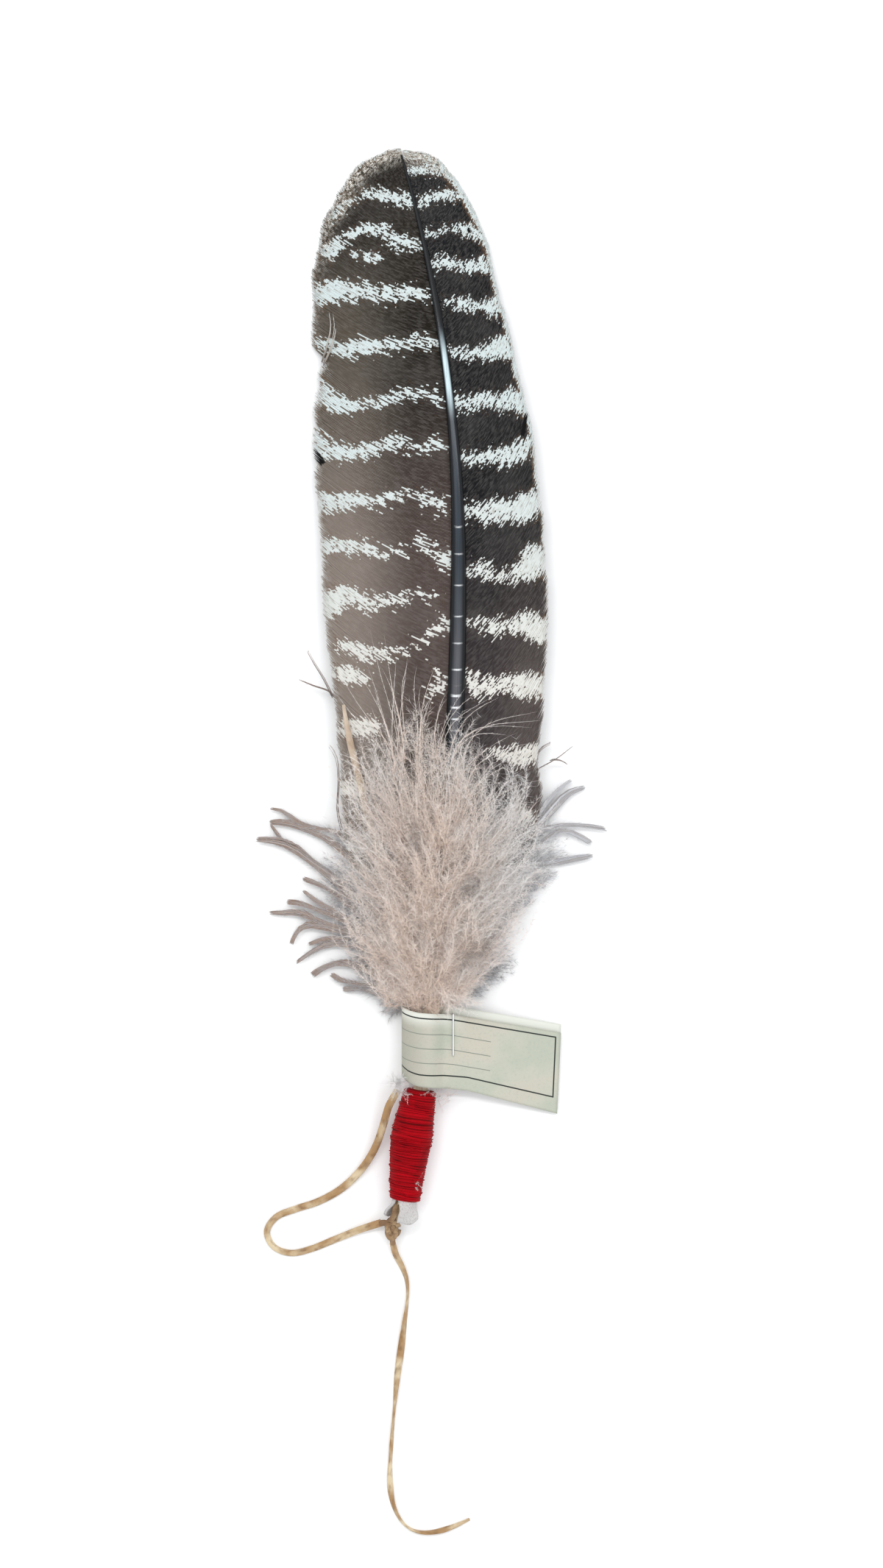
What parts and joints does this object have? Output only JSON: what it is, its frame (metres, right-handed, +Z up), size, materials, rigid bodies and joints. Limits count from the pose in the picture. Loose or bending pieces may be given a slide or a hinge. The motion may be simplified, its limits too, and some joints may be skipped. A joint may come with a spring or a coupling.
{
  "type": "turkey feather",
  "caption": "Barred turkey wing feather with down plumes at its base, a thread-bound leather handle, a paper tag and a leather lace, lying on a surface.",
  "frame": {"origin": "middle of the box around the feather, its handle and its plumes, on the surface that it lies on", "axes": "+Y from the handle to the feather's tip, +Z up out of the feather's face, +X to its narrow vane"},
  "size_m": [0.1009, 0.3951, 0.0211],
  "materials": {
    "vane": "barred dark brown and white feather vane with a satin horn shaft",
    "down": "soft loose taupe-pink down",
    "grey_down": "soft loose grey-brown down",
    "red_thread": "closely wound red cotton thread",
    "white_leather": "matt white suede",
    "tag_paper": "matt pale green-cream paper",
    "staple_wire": "bright steel wire",
    "tan_leather": "waxed tan leather lace"
  },
  "bodies": {
    "root": {"turkey_feather": "vane", "fluff_front": "down", "fluff_back": "grey_down", "thread_wrap": "red_thread", "leather_sleeve": "white_leather", "paper_tag": "tag_paper", "staple": "staple_wire", "lace_knot": "tan_leather", "lace_tail": "tan_leather", "lace_loop": "tan_leather", "lace_end": "tan_leather"}
  },
  "joints": []
}
